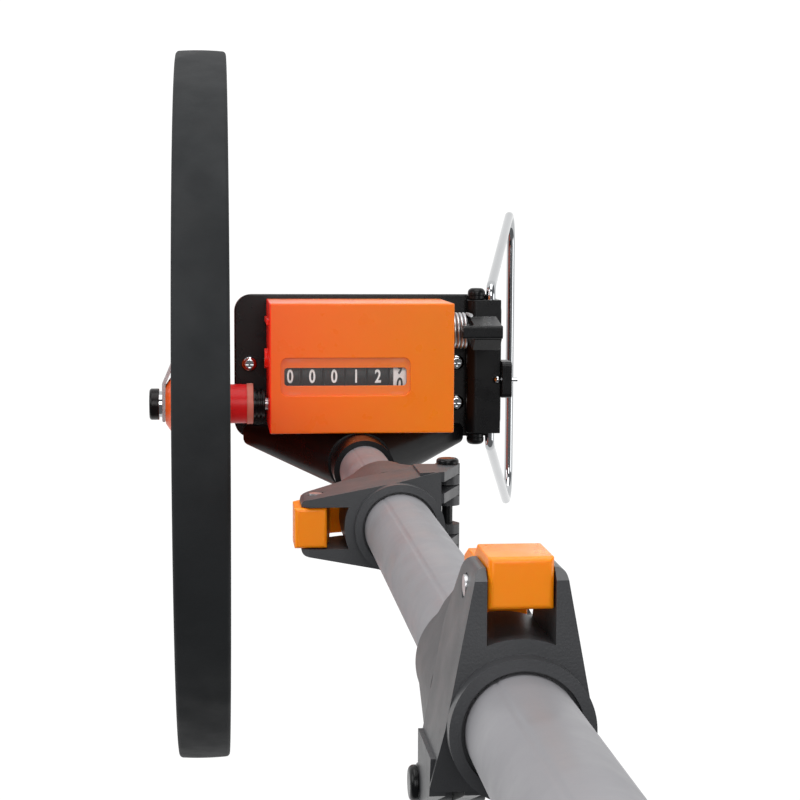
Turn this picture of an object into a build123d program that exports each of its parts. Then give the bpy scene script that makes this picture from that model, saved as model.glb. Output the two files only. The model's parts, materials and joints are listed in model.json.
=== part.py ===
"""A one-metre measuring wheel with a drum counter, a side stand and a twice-folding handle.

The row frame has +Z up the handle, +X from the wheel towards the side stand and +Y forwards.
The wheel and the stand's foot rest on z = 0, with the wheel's axle along X above Y = 0.
Places written as (x, y, z) from the axle use x = 0 at the middle of the tread.
"""
from build123d import *
from math import atan2, cos, degrees, pi, radians, sin, sqrt, tan
import os

# ---- wheel ------------------------------------------------------------------------------
wheel_circumference = 1000.0
tread_width = 22.0
tyre_thickness = 8.0
tyre_edge_round = 1.6
tyre_key_width = 7.0
tyre_key_depth = 2.5
hoop_width = 19.0
hoop_thickness = 6.0
hoop_rib_width = 6.0
hoop_rib_depth = 7.0
spoke_count = 5
spoke_web = 4.5
spoke_flange = 15.0
spoke_flange_thickness = 3.0
spoke_hub_width = 30.0
spoke_tip_width = 22.0
hub_diameter = 44.0
hub_half_length = 10.0
sleeve_diameter = 18.0
left_sleeve_length = 7.0
right_sleeve_length = 9.8
axle_diameter = 8.0
journal_diameter = 6.0
knob_diameter = 14.4
knob_length = 4.4
washer_diameter = 12.0
washer_thickness = 1.4
pointer_width = 9.0
pointer_thickness = 1.6
pointer_reach = 62.0
flange_diameter = 18.8
flange_thickness = 3.0
seal_diameter = 13.0
seal_length = 5.4

# ---- counter ----------------------------------------------------------------------------
case_left = 29.5
case_width = 82.4
case_height = 58.0
case_depth = 48.0
case_bottom = -10.6
case_front = 30.0
case_wall = 2.2
case_round = 0.7
drum_count = 6
drum_pitch = 9.83
drum_gap = 0.3
drum_radius = 12.0
drum_bore_clearance = 0.05
drum_shaft_diameter = 4.0
drum_row_x = 63.3
drum_axis_y = 14.7
window_width = 54.6
window_height = 8.0
lens_width = 57.8
lens_height = 17.0
lens_thickness = 2.4
lens_sunk = 1.2
lens_snap_width = 6.0
lens_snap_height = 1.4
chassis_base = 4.0
cheek_thickness = 1.2
cheek_gap = 0.45
gear_module = 0.8
gear_width = 4.0
gear_backlash = 0.16
axle_gear_teeth = 12
idler_gear_teeth = 13
pressure_angle = 20.0
idler_pin_diameter = 2.4
bush_wall = 1.0
bush_length = 8.0
running_clearance = 0.05

# ---- bracket and stand ------------------------------------------------------------------
plate_thickness = 4.0
plate_left = 14.5
plate_right = 141.0
plate_front = 49.5
plate_back = -18.0
plate_round = 8.0
plate_screw_diameter = 4.0
tube_x = 70.0
tube_y = -24.5
socket_wall = 2.4
socket_mouth = 52.0
socket_taper_top = 26.0
socket_foot_width = 104.0
socket_foot_depth = 10.0
socket_foot_x = 70.5
socket_foot_lip = 3.0
lower_tube_diameter = 22.0
tube_wall = 1.5
plate_screw_head = 7.2
plate_screw_rise = 3.0
stand_pin_x = 128.0
stand_pin_diameter = 4.0
stand_pin_head = 8.2
stand_pin_head_height = 3.2
stand_lug_thickness = 2.0
flap_knuckle_radius = 4.5
flap_reach = 11.2
flap_end_gap = 0.3
flap_wire_out = 6.9
flap_wire_hold = 12.0
stand_wire = 4.5
stand_foot_x = 168.5
stand_foot_front = 92.0
stand_foot_back = -75.5
stand_bend = 5.0
stand_straight = 0.8
stand_foot_bend = 17.0
tab_thickness = 4.6
tab_width = 17.0
tab_pin_diameter = 2.0
tab_pin_head = 3.6

# ---- reset lever ------------------------------------------------------------------------
reset_y = 34.0
reset_z = 8.0
reset_shaft_diameter = 6.0
reset_hub_diameter = 13.0
reset_end = 134.0
reset_bar_start = 116.0
reset_bar_height = 29.0
spring_wire = 1.6
spring_diameter = 16.6
spring_turns = 4
spring_case_gap = 0.15
spring_hub_gap = 0.2
spring_leg_gap = 0.1
spring_pitch = 1.7

# ---- handle -----------------------------------------------------------------------------
fold_1_height = 166.0
fold_2_height = 416.0
handle_top = 871.0
handle_tube_diameter = 25.0
collar_wall = 3.5
lower_collar_length = 30.0
upper_collar_length = 33.0
collar_gap = 0.4
fold_pin_out = 5.0
fold_pin_diameter = 4.0
knuckle_radius = 4.6
knuckle_thickness = 3.6
knuckle_gap = 0.3
knuckle_middle_gap = 7.0
pin_head_diameter = 8.4
pin_head_height = 1.8
latch_width = 14.4
latch_reach_out = 21.0
latch_front_depth = 11.5
latch_hook_gap = 0.8
latch_top = 28.5
latch_bottom = -8.0
latch_pivot_rise = 13.0
latch_pivot_up = 18.0
latch_pin_diameter = 3.0
latch_pin_head = 4.8
latch_pin_head_height = 0.9
latch_side_gap = 0.3
lug_thickness = 2.6
lug_reach_out = 18.5
lug_corner = 2.2
housing_floor = 3.4
collar_ring = 4.0
mouth_gap = 0.9
mouth_depth = 2.5
keeper_reach_out = 5.0
keeper_ledge = -11.0
housing_corner = 1.6
keeper_depth = 1.6
grip_length = 128.0
grip_wall = 3.5
cap_length = 26.0
hang_hole_diameter = 8.0

hang_eye_width = 24.0
hang_eye_thickness = 10.0
cap_base = 8.0
cap_plug = 14.0
grip_groove_count = 9
grip_groove_width = 3.0
grip_groove_depth = 1.0

# ---- small details ----------------------------------------------------------------------
small_chamfer = 0.4
edge_round = 0.8
part_gap = 0.6
knob_round = 1.2
knob_socket_radius = 3.4
knob_socket_depth = 1.8
axle_tail = 2.6
seal_groove_start = 1.2
seal_groove_pitch = 1.9
seal_groove_size = 0.9
clip_radius = 5.2
clip_mouth = 3.2
clip_thickness = 0.8
case_rib_width = 2.4
case_rib_height = 1.0
case_rib_from_top = 9.0
case_boss_radius = 4.5
case_boss_height = 1.6
case_boss_from_top = 26.0
left_screw_inset = 7.0
left_screw_y = 17.0
right_screw_front = 17.4
right_screw_back = -1.7
tab_pin_y = 10.0
tab_round = 2.0
tab_rise = 3.0
fold_pin_round = 1.2
latch_round = 1.4
grip_round = 2.5
cap_round = 3.0
lever_bar_size = 5.8

# ---- derived places ---------------------------------------------------------------------
wheel_radius = wheel_circumference / (2 * pi)
axle_z = wheel_radius
hub_right = hub_half_length + right_sleeve_length
washer_x = -(hub_half_length + left_sleeve_length)
knob_inner_x = washer_x - pointer_thickness - washer_thickness
knob_end = knob_inner_x - knob_length
wheel_x = -(stand_foot_x + stand_wire / 2 + knob_end) / 2
case_right = case_left + case_width
case_back = case_front - case_depth
case_top = case_bottom + case_height
gear_centres = gear_module * (axle_gear_teeth + idler_gear_teeth)
drum_axis_z = sqrt(gear_centres**2 - drum_axis_y**2)
train_angle = degrees(atan2(drum_axis_z, drum_axis_y))
idler_y = drum_axis_y / 2
idler_z = drum_axis_z / 2
drum_width = drum_pitch - drum_gap
drum_row_half = drum_count * drum_pitch / 2 - drum_gap / 2
left_cheek = drum_row_x - drum_row_half - cheek_gap - cheek_thickness
right_cheek = drum_row_x + drum_row_half + cheek_gap
gear_start = right_cheek + cheek_thickness + 0.8
gear_end = gear_start + gear_width
bush_diameter = journal_diameter + 2 * (bush_wall + running_clearance)
plate_top = case_back
plate_bottom = plate_top - plate_thickness
stand_pin_z = plate_top + flap_knuckle_radius + 0.5
bearing_block_half = bush_diameter / 2 + 2.0
coil_radius = (spring_diameter - spring_wire) / 2
coil_length = spring_turns * spring_pitch
spring_leg_length = reset_z - plate_top - spring_leg_gap
spring_leg_lean = spring_leg_length * spring_pitch / (2 * pi * coil_radius)
spring_start = case_right + spring_case_gap + spring_wire / 2 + spring_leg_lean
reset_hub_start = spring_start + coil_length + spring_wire / 2 + spring_hub_gap
socket_diameter = lower_tube_diameter + 2 * socket_wall
grip_diameter = handle_tube_diameter + 2 * grip_wall
collar_radius = handle_tube_diameter / 2 + collar_wall
fold_pin_offset = collar_radius + fold_pin_out
latch_reach = collar_radius + latch_reach_out
latch_inner = latch_reach - latch_front_depth
latch_nose = collar_radius + latch_hook_gap
latch_pivot_out = collar_radius + latch_pivot_rise
lug_reach = collar_radius + lug_reach_out

os.makedirs("parts", exist_ok=True)


def along_x(x):
    """The YZ plane at x from the middle of the tread, with its origin on the axle's height."""
    return Plane(origin=(wheel_x + x, 0, axle_z), x_dir=(0, 1, 0), z_dir=(1, 0, 0))


def level(z):
    """The horizontal plane at height z from the axle, with its origin over the tread's middle."""
    return Plane(origin=(wheel_x, 0, axle_z + z), x_dir=(1, 0, 0), z_dir=(0, 0, 1))


def facing_back(y):
    """The XZ plane at y; its sketches read x to the right and z up, and extrude towards -Y."""
    return Plane(origin=(wheel_x, y, axle_z), x_dir=(1, 0, 0), z_dir=(0, -1, 0))


def save(part, label):
    """Label a finished piece and write it as one STEP file."""
    part.label = label
    export_step(part, f"parts/{label}.step")


def gear_points(teeth, tooth_angle):
    """One involute gear's outline, with a tooth pointing at tooth_angle in degrees."""
    pitch_r = gear_module * teeth / 2
    base_r = pitch_r * cos(radians(pressure_angle))
    tip_r = pitch_r + 0.8 * gear_module
    root_r = pitch_r - 1.25 * gear_module
    half_pitch = pi / (2 * teeth) - gear_backlash / (2 * pitch_r)
    involute_at_pitch = tan(radians(pressure_angle)) - radians(pressure_angle)
    steps = 5
    flank = [(root_r, half_pitch + involute_at_pitch)]
    for i in range(steps + 1):
        r = base_r + (tip_r - base_r) * i / steps
        roll = sqrt(max(0.0, (r / base_r) ** 2 - 1))
        flank.append((r, half_pitch + involute_at_pitch - (roll - atan2(roll, 1))))
    points = []
    for tooth in range(teeth):
        middle = radians(tooth_angle) + 2 * pi * tooth / teeth
        sides = [(r, middle - a) for r, a in flank] + [(r, middle + a) for r, a in reversed(flank)]
        points += [(r * cos(a), r * sin(a)) for r, a in sides]
    return points


def make_gear(teeth, tooth_angle, centre, bore_diameter):
    """A spur gear on the counter's gear plane, round the point centre on the YZ plane."""
    centre_y, centre_z = centre
    gear_plane = Plane(origin=(wheel_x + gear_start, centre_y, axle_z + centre_z),
                       x_dir=(0, 1, 0), z_dir=(1, 0, 0))
    with BuildPart() as gear:
        with BuildSketch(gear_plane):
            with BuildLine():
                Polyline(*gear_points(teeth, tooth_angle), close=True)
            make_face()
            Circle(bore_diameter / 2, mode=Mode.SUBTRACT)
        extrude(amount=gear_width)
    return gear.part


def make_tube(x, y, low, high, diameter, wall):
    """A straight round tube up Z, from the height low to high over the axle."""
    with BuildPart() as tube:
        with BuildSketch(level(low)):
            with Locations((x, y)):
                Circle(diameter / 2)
                Circle(diameter / 2 - wall, mode=Mode.SUBTRACT)
        extrude(amount=high - low)
    return tube.part


def make_screw(head_diameter, head_height, shank_diameter, shank_length):
    """A cross-driven pan-head screw along +Z, the underside of its head at the origin."""
    with BuildPart() as screw:
        with BuildSketch(Plane.XY):
            Circle(head_diameter / 2)
        extrude(amount=head_height)
        fillet(screw.faces().sort_by(Axis.Z)[-1].edges(), head_height * 0.6)
        with BuildSketch(Plane.XY.offset(-shank_length)):
            Circle(shank_diameter / 2)
        extrude(amount=shank_length)
        with BuildSketch(Plane.XY.offset(head_height)):
            Rectangle(head_diameter * 0.5, head_diameter * 0.13)
            Rectangle(head_diameter * 0.13, head_diameter * 0.5)
        extrude(amount=-head_height * 0.55, mode=Mode.SUBTRACT)
    return screw.part


# ==== wheel ==============================================================================
hoop_outer = wheel_radius - tyre_thickness
hoop_inner = hoop_outer - hoop_thickness
rib_inner = hoop_inner - hoop_rib_depth

with BuildPart() as tyre:
    with BuildSketch(Plane(origin=(wheel_x, 0, axle_z), x_dir=(1, 0, 0), z_dir=(0, -1, 0))):
        with Locations((0, hoop_outer + tyre_thickness / 2)):
            Rectangle(tread_width, tyre_thickness)
        with Locations((0, hoop_outer - tyre_key_depth / 2)):
            Rectangle(tyre_key_width, tyre_key_depth)
    revolve(axis=Axis((wheel_x, 0, axle_z), (1, 0, 0)))
    tread_edges = tyre.edges().filter_by(GeomType.CIRCLE).sort_by(lambda e: e.radius)[-2:]
    fillet(tread_edges, tyre_edge_round)
save(tyre.part, "tyre")

with BuildPart() as wheel_rim:
    with BuildSketch(Plane(origin=(wheel_x, 0, axle_z), x_dir=(1, 0, 0), z_dir=(0, -1, 0))):
        with Locations((0, hoop_outer - hoop_thickness / 2)):
            Rectangle(hoop_width, hoop_thickness)
        with Locations((0, hoop_inner - hoop_rib_depth / 2)):
            Rectangle(hoop_rib_width, hoop_rib_depth)
        with Locations((0, hoop_outer - tyre_key_depth / 2)):
            Rectangle(tyre_key_width, tyre_key_depth, mode=Mode.SUBTRACT)
    revolve(axis=Axis((wheel_x, 0, axle_z), (1, 0, 0)))
    spoke_start = hub_diameter / 2 - 4
    spoke_end = rib_inner + 2
    for spoke_index in range(spoke_count):
        turn = radians(360 * spoke_index / spoke_count + 90)
        spoke_plane = Plane(origin=(wheel_x, 0, axle_z), x_dir=(0, cos(turn), sin(turn)),
                            z_dir=(1, 0, 0))
        spoke_profile = [(spoke_start, -spoke_hub_width / 2), (spoke_end, -spoke_tip_width / 2),
                         (spoke_end, spoke_tip_width / 2), (spoke_start, spoke_hub_width / 2)]
        with BuildSketch(spoke_plane):
            with BuildLine():
                Polyline(*spoke_profile, close=True)
            make_face()
        extrude(amount=spoke_web / 2, both=True)
        with BuildSketch(spoke_plane):
            for side in (1, -1):
                inner_a = (spoke_start, side * (spoke_hub_width / 2 - spoke_flange_thickness))
                outer_a = (spoke_end, side * (spoke_tip_width / 2 - spoke_flange_thickness))
                outer_b = (spoke_end, side * spoke_tip_width / 2)
                inner_b = (spoke_start, side * spoke_hub_width / 2)
                with BuildLine():
                    Polyline(inner_a, outer_a, outer_b, inner_b, close=True)
                make_face()
        extrude(amount=spoke_flange / 2, both=True)
    with BuildSketch(along_x(-hub_half_length)):
        Circle(hub_diameter / 2)
    extrude(amount=2 * hub_half_length)
    with BuildSketch(along_x(-hub_half_length)):
        Circle(hub_diameter / 2 - 3)
    with BuildSketch(along_x(washer_x)):
        Circle(sleeve_diameter / 2)
    loft()
    with BuildSketch(along_x(hub_half_length)):
        Circle(sleeve_diameter / 2)
    extrude(amount=right_sleeve_length)
    with BuildSketch(along_x(washer_x)):
        Circle(axle_diameter / 2)
    extrude(amount=hub_right - washer_x, mode=Mode.SUBTRACT)
save(wheel_rim.part, "wheel_rim")

axle_right = gear_end + axle_tail
with BuildPart() as axle:
    with BuildSketch(along_x(knob_inner_x)):
        Circle(axle_diameter / 2)
    extrude(amount=hub_right + flange_thickness + seal_length - knob_inner_x)
    with BuildSketch(along_x(hub_right + flange_thickness + seal_length)):
        Circle(journal_diameter / 2)
    extrude(amount=axle_right - hub_right - flange_thickness - seal_length)
    chamfer(axle.faces().sort_by(Axis.X)[-1].edges(), small_chamfer)
save(axle.part, "axle")

with BuildPart() as index_pointer:
    with BuildSketch(level(0)):
        flat_x = washer_x - pointer_thickness / 2
        side_x = -hub_half_length - pointer_thickness - 0.4
        pointer_line = [(flat_x, -7.0), (flat_x, sleeve_diameter / 2 + 0.5),
                        (side_x, hub_diameter / 2 + 1.0), (side_x, pointer_reach)]
        with BuildLine():
            pointer_path = Polyline(*pointer_line)
            offset(pointer_path, amount=pointer_thickness / 2, side=Side.BOTH)
        make_face()
    extrude(amount=pointer_width / 2, both=True)
    with BuildSketch(along_x(washer_x - 2 * pointer_thickness)):
        Circle(axle_diameter / 2)
    extrude(amount=2 * pointer_thickness, mode=Mode.SUBTRACT)
save(index_pointer.part, "index_pointer")

with BuildPart() as knob_washer:
    with BuildSketch(along_x(knob_inner_x)):
        Circle(washer_diameter / 2)
        Circle(axle_diameter / 2, mode=Mode.SUBTRACT)
    extrude(amount=washer_thickness)
save(knob_washer.part, "knob_washer")

with BuildPart() as end_knob:
    with BuildSketch(along_x(knob_end)):
        Circle(knob_diameter / 2)
    extrude(amount=knob_length)
    fillet(end_knob.faces().sort_by(Axis.X)[0].edges(), knob_round)
    with BuildSketch(along_x(knob_end)):
        RegularPolygon(radius=knob_socket_radius, side_count=6)
    extrude(amount=knob_socket_depth, mode=Mode.SUBTRACT)
save(end_knob.part, "end_knob")

with BuildPart() as drive_flange:
    with BuildSketch(along_x(hub_right)):
        Circle(flange_diameter / 2)
        Circle(axle_diameter / 2, mode=Mode.SUBTRACT)
    extrude(amount=flange_thickness)
save(drive_flange.part, "drive_flange")

with BuildPart() as shaft_seal:
    with BuildSketch(along_x(hub_right + flange_thickness)):
        Circle(seal_diameter / 2)
        Circle(axle_diameter / 2, mode=Mode.SUBTRACT)
    extrude(amount=seal_length)
    for groove_index in range(2):
        groove_x = seal_groove_start + seal_groove_pitch * groove_index
        with BuildSketch(along_x(hub_right + flange_thickness + groove_x)):
            Circle(seal_diameter / 2 + seal_groove_size)
            Circle(seal_diameter / 2 - seal_groove_size, mode=Mode.SUBTRACT)
        extrude(amount=seal_groove_size, mode=Mode.SUBTRACT)
save(shaft_seal.part, "shaft_seal")

axle_gear = make_gear(axle_gear_teeth, train_angle, (0, 0), journal_diameter)
save(axle_gear, "axle_gear")

with BuildPart() as axle_clip:
    with BuildSketch(along_x(gear_end + part_gap)):
        Circle(clip_radius)
        Circle(journal_diameter / 2, mode=Mode.SUBTRACT)
        with Locations((0, -clip_radius)):
            Rectangle(clip_mouth, 2 * clip_radius, mode=Mode.SUBTRACT)
    extrude(amount=clip_thickness)
save(axle_clip.part, "axle_clip")

# ==== counter ============================================================================
with BuildPart() as counter_case:
    with BuildSketch(level(case_back)):
        with Locations((case_left + case_width / 2, case_bottom + case_height / 2)):
            Rectangle(case_width, case_height)
    extrude(amount=case_depth)
    front_edges = counter_case.faces().sort_by(Axis.Z)[-1].edges()
    fillet(front_edges + counter_case.edges().filter_by(Axis.Z), case_round)
    with BuildSketch(level(case_back)):
        with Locations((case_left + case_width / 2, case_bottom + case_height / 2)):
            RectangleRounded(case_width - 2 * case_wall, case_height - 2 * case_wall, 0.5)
    extrude(amount=case_depth - case_wall, mode=Mode.SUBTRACT)
    with BuildSketch(level(case_front)):
        with Locations((drum_row_x, drum_axis_y)):
            RectangleRounded(window_width, window_height, 1.5)
    extrude(amount=-2 * case_wall, mode=Mode.SUBTRACT)
    with BuildSketch(level(case_front)):
        with Locations((drum_row_x, drum_axis_y)):
            RectangleRounded(lens_width, lens_height, 3)
    extrude(amount=-lens_sunk, mode=Mode.SUBTRACT)
    with BuildSketch(along_x(case_left)):
        Circle(journal_diameter / 2 + 1)
    extrude(amount=2 * case_wall, mode=Mode.SUBTRACT)
    with BuildSketch(along_x(case_right)):
        with Locations((reset_y, reset_z)):
            Circle(reset_shaft_diameter / 2 + running_clearance)
    extrude(amount=-2 * case_wall, mode=Mode.SUBTRACT)
    with BuildSketch(along_x(case_left)):
        with Locations((case_top - case_rib_from_top, (case_front + case_back) / 2 - 4)):
            Rectangle(case_rib_width, case_depth * 0.7)
    extrude(amount=-case_rib_height)
    with BuildSketch(along_x(case_left)):
        with Locations((case_top - case_boss_from_top, (case_front + case_back) / 2)):
            Circle(case_boss_radius)
    extrude(amount=-case_boss_height)
save(counter_case.part, "counter_case")

with BuildPart() as window_lens:
    with BuildSketch(level(case_front - lens_sunk)):
        with Locations((drum_row_x, drum_axis_y)):
            RectangleRounded(lens_width, lens_height, 3)
    extrude(amount=lens_thickness)
    fillet(window_lens.faces().sort_by(Axis.Z)[-1].edges(), edge_round)
    with BuildSketch(level(case_front - lens_sunk)):
        with Locations((drum_row_x, drum_axis_y)):
            with GridLocations(lens_width - 12, lens_height - 2.4, 2, 2):
                SlotOverall(lens_snap_width, lens_snap_height)
    extrude(amount=lens_thickness / 2, mode=Mode.SUBTRACT)
save(window_lens.part, "window_lens")

with BuildPart() as counter_chassis:
    with BuildSketch(level(case_back)):
        with Locations(((left_cheek + right_cheek + cheek_thickness) / 2, drum_axis_y - 2)):
            Rectangle(right_cheek + cheek_thickness - left_cheek, 2 * (drum_axis_y - 2) + 11)
    extrude(amount=chassis_base)
    with BuildSketch(along_x(left_cheek)):
        with BuildLine():
            Polyline((-6.2, case_back + chassis_base), (-6.2, 4.0), (-3.5, bearing_block_half),
                     (3.2, bearing_block_half), (3.2, case_back + chassis_base), close=True)
        make_face()
    extrude(amount=right_cheek + cheek_thickness - left_cheek)
    for cheek_x in (left_cheek, right_cheek):
        with BuildSketch(along_x(cheek_x)):
            with BuildLine():
                Polyline((-6.2, case_back + chassis_base), (-6.2, 2), (drum_axis_y - 6, drum_axis_z + 6),
                         (drum_axis_y + 5, drum_axis_z + 6), (drum_axis_y + 8, drum_axis_z - 4),
                         (drum_axis_y + 8, case_back + chassis_base), close=True)
            make_face()
        extrude(amount=cheek_thickness)
    with BuildSketch(along_x(left_cheek)):
        Circle(bush_diameter / 2)
        with Locations((drum_axis_y, drum_axis_z)):
            Circle(drum_shaft_diameter / 2 + running_clearance)
    extrude(amount=right_cheek + cheek_thickness - left_cheek, mode=Mode.SUBTRACT)
    with BuildSketch(along_x(right_cheek)):
        with Locations((idler_y, idler_z)):
            Circle(idler_pin_diameter / 2)
    extrude(amount=cheek_thickness, mode=Mode.SUBTRACT)
save(counter_chassis.part, "counter_chassis")

with BuildPart() as axle_bushes:
    for bush_x in (left_cheek, right_cheek + cheek_thickness - bush_length):
        with BuildSketch(along_x(bush_x)):
            Circle(bush_diameter / 2)
            Circle(journal_diameter / 2 + running_clearance, mode=Mode.SUBTRACT)
        extrude(amount=bush_length)
save(axle_bushes.part, "axle_bushes")

with BuildPart() as idler_pin:
    with BuildSketch(along_x(right_cheek)):
        with Locations((idler_y, idler_z)):
            Circle(idler_pin_diameter / 2)
    extrude(amount=gear_end + 0.3 - right_cheek)
    with BuildSketch(along_x(gear_end + 0.3)):
        with Locations((idler_y, idler_z)):
            Circle(idler_pin_diameter / 2 + 0.8)
    extrude(amount=0.8)
save(idler_pin.part, "idler_pin")

idler_bore = idler_pin_diameter + 2 * running_clearance
idler_gear = make_gear(idler_gear_teeth, train_angle, (idler_y, idler_z), idler_bore)
save(idler_gear, "idler_gear")

with BuildPart() as drum_shaft:
    with BuildSketch(along_x(left_cheek)):
        with Locations((drum_axis_y, drum_axis_z)):
            Circle(drum_shaft_diameter / 2)
    extrude(amount=gear_end + 1.2 - left_cheek)
save(drum_shaft.part, "drum_shaft")

drum_tooth_angle = train_angle + 180 / axle_gear_teeth
drum_gear = make_gear(axle_gear_teeth, drum_tooth_angle, (drum_axis_y, drum_axis_z), drum_shaft_diameter)
save(drum_gear, "drum_gear")

for drum_index in range(drum_count):
    is_decimetres = drum_index == drum_count - 1
    drum_x = drum_row_x + (drum_index - (drum_count - 1) / 2) * drum_pitch
    bore = drum_shaft_diameter / 2 + (0 if is_decimetres else drum_bore_clearance)
    with BuildPart() as drum:
        with BuildSketch(along_x(drum_x - drum_width / 2)):
            with Locations((drum_axis_y, drum_axis_z)):
                Circle(drum_radius)
                Circle(bore, mode=Mode.SUBTRACT)
        extrude(amount=drum_width)
        outer_edges = drum.edges().filter_by(GeomType.CIRCLE).sort_by(lambda e: e.radius)[-2:]
        chamfer(outer_edges, small_chamfer)
    save(drum.part, "drum_decimetres" if is_decimetres else f"drum_{drum_count - 1 - drum_index}")

# ==== bracket ============================================================================
plate_middle_x = (plate_left + plate_right) / 2
plate_middle_y = (plate_front + plate_back) / 2
plate_screw_x = stand_pin_x - flap_knuckle_radius - plate_screw_head / 2 - 0.5
plate_screw_places = [(plate_left + left_screw_inset, left_screw_y), (plate_screw_x, right_screw_front),
                      (plate_screw_x, right_screw_back)]
with BuildPart() as base_plate:
    with BuildSketch(level(plate_bottom)):
        with Locations((plate_middle_x, plate_middle_y)):
            RectangleRounded(plate_right - plate_left, plate_front - plate_back, plate_round)
    extrude(amount=plate_thickness)
    fillet(base_plate.faces().sort_by(Axis.Z)[-1].edges(), edge_round)
    with BuildSketch(level(plate_bottom)):
        with Locations(*plate_screw_places):
            Circle(plate_screw_diameter / 2)
    extrude(amount=plate_thickness, mode=Mode.SUBTRACT)
save(base_plate.part, "base_plate")

socket_foot_y = case_bottom - part_gap - socket_foot_depth / 2
with BuildPart() as tube_socket:
    with BuildSketch(level(plate_top)):
        with Locations((socket_foot_x, socket_foot_y)):
            RectangleRounded(socket_foot_width, socket_foot_depth, socket_foot_depth / 3)
    extrude(amount=socket_foot_lip)
    with BuildSketch(level(plate_top + socket_foot_lip)):
        with Locations((socket_foot_x, socket_foot_y)):
            RectangleRounded(socket_foot_width, socket_foot_depth, socket_foot_depth / 3)
    with BuildSketch(level(socket_taper_top)):
        with Locations((tube_x, tube_y)):
            RectangleRounded(socket_diameter + 2, socket_diameter, socket_diameter / 2 - 0.2)
    loft()
    with BuildSketch(level(socket_taper_top)):
        with Locations((tube_x, tube_y)):
            Circle(socket_diameter / 2)
    extrude(amount=socket_mouth - socket_taper_top)
    with BuildSketch(level(socket_mouth)):
        with Locations((tube_x, tube_y)):
            Circle(lower_tube_diameter / 2)
    extrude(amount=-(socket_mouth - socket_taper_top + 20), mode=Mode.SUBTRACT)
save(tube_socket.part, "tube_socket")

lower_tube_low = socket_taper_top - 20
save(make_tube(tube_x, tube_y, lower_tube_low, fold_1_height - collar_gap / 2,
               lower_tube_diameter, tube_wall), "lower_tube")

with BuildPart() as plate_screws:
    pan_screw = make_screw(plate_screw_head, plate_screw_rise, plate_screw_diameter, plate_thickness)
    for screw_x, screw_y in plate_screw_places:
        add(pan_screw.moved(Location((wheel_x + screw_x, screw_y, axle_z + plate_top))))
save(plate_screws.part, "plate_screws")

# ==== side stand =========================================================================
flap_front = plate_front - stand_lug_thickness - flap_end_gap
flap_back = plate_back + stand_lug_thickness + flap_end_gap
flap_right = stand_pin_x + flap_reach
flap_wire_x = stand_pin_x + flap_wire_out
with BuildPart() as stand_lugs:
    for lug_front in (plate_front, plate_back + stand_lug_thickness):
        with BuildSketch(facing_back(lug_front)):
            with Locations((stand_pin_x, stand_pin_z)):
                Circle(flap_knuckle_radius - 0.6)
            with Locations((stand_pin_x, (plate_top + stand_pin_z) / 2)):
                Rectangle(2 * flap_knuckle_radius - 1.2, stand_pin_z - plate_top)
            with Locations((stand_pin_x, stand_pin_z)):
                Circle(stand_pin_diameter / 2, mode=Mode.SUBTRACT)
        extrude(amount=stand_lug_thickness)
save(stand_lugs.part, "stand_lugs")

with BuildPart() as stand_pin:
    with BuildSketch(facing_back(plate_front)):
        with Locations((stand_pin_x, stand_pin_z)):
            Circle(stand_pin_diameter / 2)
    extrude(amount=plate_front - plate_back)
    for head_y, way in ((plate_front, 1), (plate_back, -1)):
        head_plane = Plane(origin=(wheel_x + stand_pin_x, head_y, axle_z + stand_pin_z),
                           x_dir=(1, 0, 0), z_dir=(0, way, 0))
        with BuildSketch(head_plane):
            Circle(stand_pin_head / 2)
        extrude(amount=stand_pin_head_height)
    fillet(stand_pin.faces().sort_by(Axis.Y)[-1].edges(), stand_pin_head_height * 0.7)
    fillet(stand_pin.faces().sort_by(Axis.Y)[0].edges(), stand_pin_head_height * 0.7)
save(stand_pin.part, "stand_pin")

with BuildPart() as stand_flap:
    with BuildSketch(facing_back(flap_front)):
        with Locations((stand_pin_x, stand_pin_z)):
            Circle(flap_knuckle_radius)
        with Locations((stand_pin_x + flap_reach / 2, stand_pin_z)):
            Rectangle(flap_reach, 2 * flap_knuckle_radius)
        with Locations((stand_pin_x, stand_pin_z)):
            Circle(stand_pin_diameter / 2 + running_clearance, mode=Mode.SUBTRACT)
    extrude(amount=flap_front - flap_back)
    for hole_front in (flap_front, flap_back + flap_wire_hold):
        with BuildSketch(facing_back(hole_front)):
            with Locations((flap_wire_x, stand_pin_z)):
                Circle(stand_wire / 2)
        extrude(amount=flap_wire_hold, mode=Mode.SUBTRACT)
save(stand_flap.part, "stand_flap")

stand_foot_z = -wheel_radius + stand_wire / 2
stand_elbow = stand_straight + stand_bend
stand_points = [(flap_wire_x, flap_front - flap_wire_hold, stand_pin_z),
                (flap_wire_x, flap_front + stand_elbow, stand_pin_z),
                (stand_foot_x, stand_foot_front, stand_foot_z),
                (stand_foot_x, stand_foot_back, stand_foot_z),
                (flap_wire_x, flap_back - stand_elbow, stand_pin_z),
                (flap_wire_x, flap_back + flap_wire_hold, stand_pin_z)]
with BuildPart() as stand:
    with BuildLine() as stand_path:
        corners = [(wheel_x + x, y, axle_z + z) for x, y, z in stand_points]
        FilletPolyline(*corners, radius=[stand_bend, stand_foot_bend, stand_foot_bend, stand_bend])
    with BuildSketch(Plane(origin=corners[0], z_dir=(0, 1, 0))):
        Circle(stand_wire / 2)
    sweep()
save(stand.part, "stand")

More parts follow.
